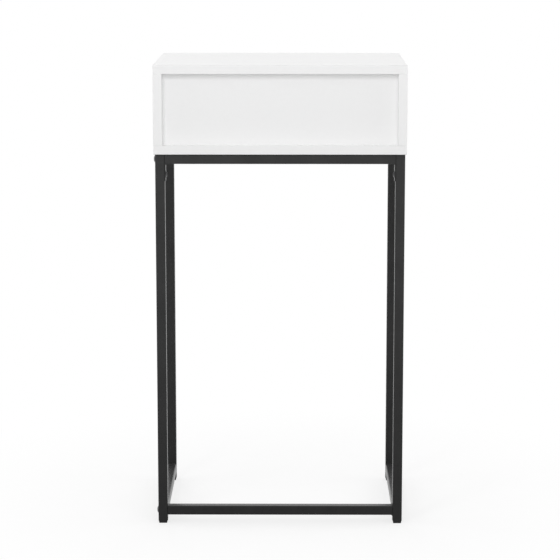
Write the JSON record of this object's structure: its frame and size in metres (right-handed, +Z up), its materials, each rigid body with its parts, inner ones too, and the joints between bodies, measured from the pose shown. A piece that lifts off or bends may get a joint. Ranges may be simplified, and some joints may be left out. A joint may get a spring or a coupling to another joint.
{
  "type": "side table with drawer",
  "caption": "Tall narrow side table: a white board box with an inset, handle-less drawer on roller runners, carried by a black square-tube steel frame.",
  "frame": {"origin": "on the floor under the middle of the table", "axes": "+Z up; +X to the right of someone who stands at the drawer; +Y towards the recessed back panel, and the drawer opens towards -Y"},
  "size_m": [0.42, 0.3, 0.78],
  "materials": {
    "white_melamine_board": "satin white melamine on particle board, with matching edge banding",
    "white_hardboard": "smooth white lacquered hardboard",
    "black_powder_coat": "fine-textured satin black powder coat",
    "black_plastic": "moulded matt black polyethylene",
    "black_fastener": "satin black coated steel",
    "zinc_plated_steel": "bright zinc plating",
    "die_cast_zinc": "dull die-cast zinc",
    "white_epoxy_coat": "glossy white epoxy coat on folded sheet steel",
    "white_nylon": "moulded natural-white nylon",
    "beech": "plain compressed beech"
  },
  "bodies": {
    "table": {"back_panel": "white_hardboard", "bottom_panel": "white_melamine_board", "box_biscuits": "beech", "end_plate_screws": "black_fastener", "frame_bolts": "black_fastener", "front_axles": "zinc_plated_steel", "front_end_plates": "black_powder_coat", "front_top_rail": "black_powder_coat", "left_box_runner": "white_epoxy_coat", "left_front_foot": "black_plastic", "left_front_leg": "black_powder_coat", "left_lower_rail": "black_powder_coat", "left_rear_foot": "black_plastic", "left_rear_leg": "black_powder_coat", "left_side_panel": "white_melamine_board", "left_top_rail": "black_powder_coat", "rail_plugs": "zinc_plated_steel", "rear_end_plates": "black_powder_coat", "rear_lower_rail": "black_powder_coat", "rear_top_rail": "black_powder_coat", "right_box_runner": "white_epoxy_coat", "right_front_foot": "black_plastic", "right_front_leg": "black_powder_coat", "right_lower_rail": "black_powder_coat", "right_rear_foot": "black_plastic", "right_rear_leg": "black_powder_coat", "right_side_panel": "white_melamine_board", "right_top_rail": "black_powder_coat", "top_panel": "white_melamine_board"},
    "drawer": {"drawer_back": "white_melamine_board", "drawer_bottom": "white_hardboard", "drawer_front": "white_melamine_board", "left_drawer_runner": "white_epoxy_coat", "left_drawer_side": "white_melamine_board", "rear_axles": "zinc_plated_steel", "right_drawer_runner": "white_epoxy_coat", "right_drawer_side": "white_melamine_board"},
    "left_front_roller": {"left_front_roller": "white_nylon"},
    "left_rear_roller": {"left_rear_roller": "white_nylon"},
    "right_front_roller": {"right_front_roller": "white_nylon"},
    "right_rear_roller": {"right_rear_roller": "white_nylon"}
  },
  "joints": [
    {"name": "drawer_slide", "type": "slide", "parent": "table", "child": "drawer", "axis": [0, -1, 0], "range_m": [0, 0.19]},
    {"name": "left_front_roller_spin", "type": "hinge", "parent": "table", "child": "left_front_roller", "pos_m": [-0.1895, -0.121, 0.6612], "axis": [1, 0, 0], "continuous": true},
    {"name": "right_front_roller_spin", "type": "hinge", "parent": "table", "child": "right_front_roller", "pos_m": [0.1895, -0.121, 0.6612], "axis": [1, 0, 0], "continuous": true},
    {"name": "left_rear_roller_spin", "type": "hinge", "parent": "drawer", "child": "left_rear_roller", "pos_m": [-0.188, 0.105, 0.6612], "axis": [1, 0, 0], "continuous": true},
    {"name": "right_rear_roller_spin", "type": "hinge", "parent": "drawer", "child": "right_rear_roller", "pos_m": [0.188, 0.105, 0.6612], "axis": [1, 0, 0], "continuous": true}
  ],
  "couplings": [
    {"joint": "left_front_roller_spin", "follows": "drawer_slide", "rad_per_m": 125},
    {"joint": "right_front_roller_spin", "follows": "drawer_slide", "rad_per_m": 125},
    {"joint": "left_rear_roller_spin", "follows": "drawer_slide", "rad_per_m": 125},
    {"joint": "right_rear_roller_spin", "follows": "drawer_slide", "rad_per_m": 125}
  ]
}
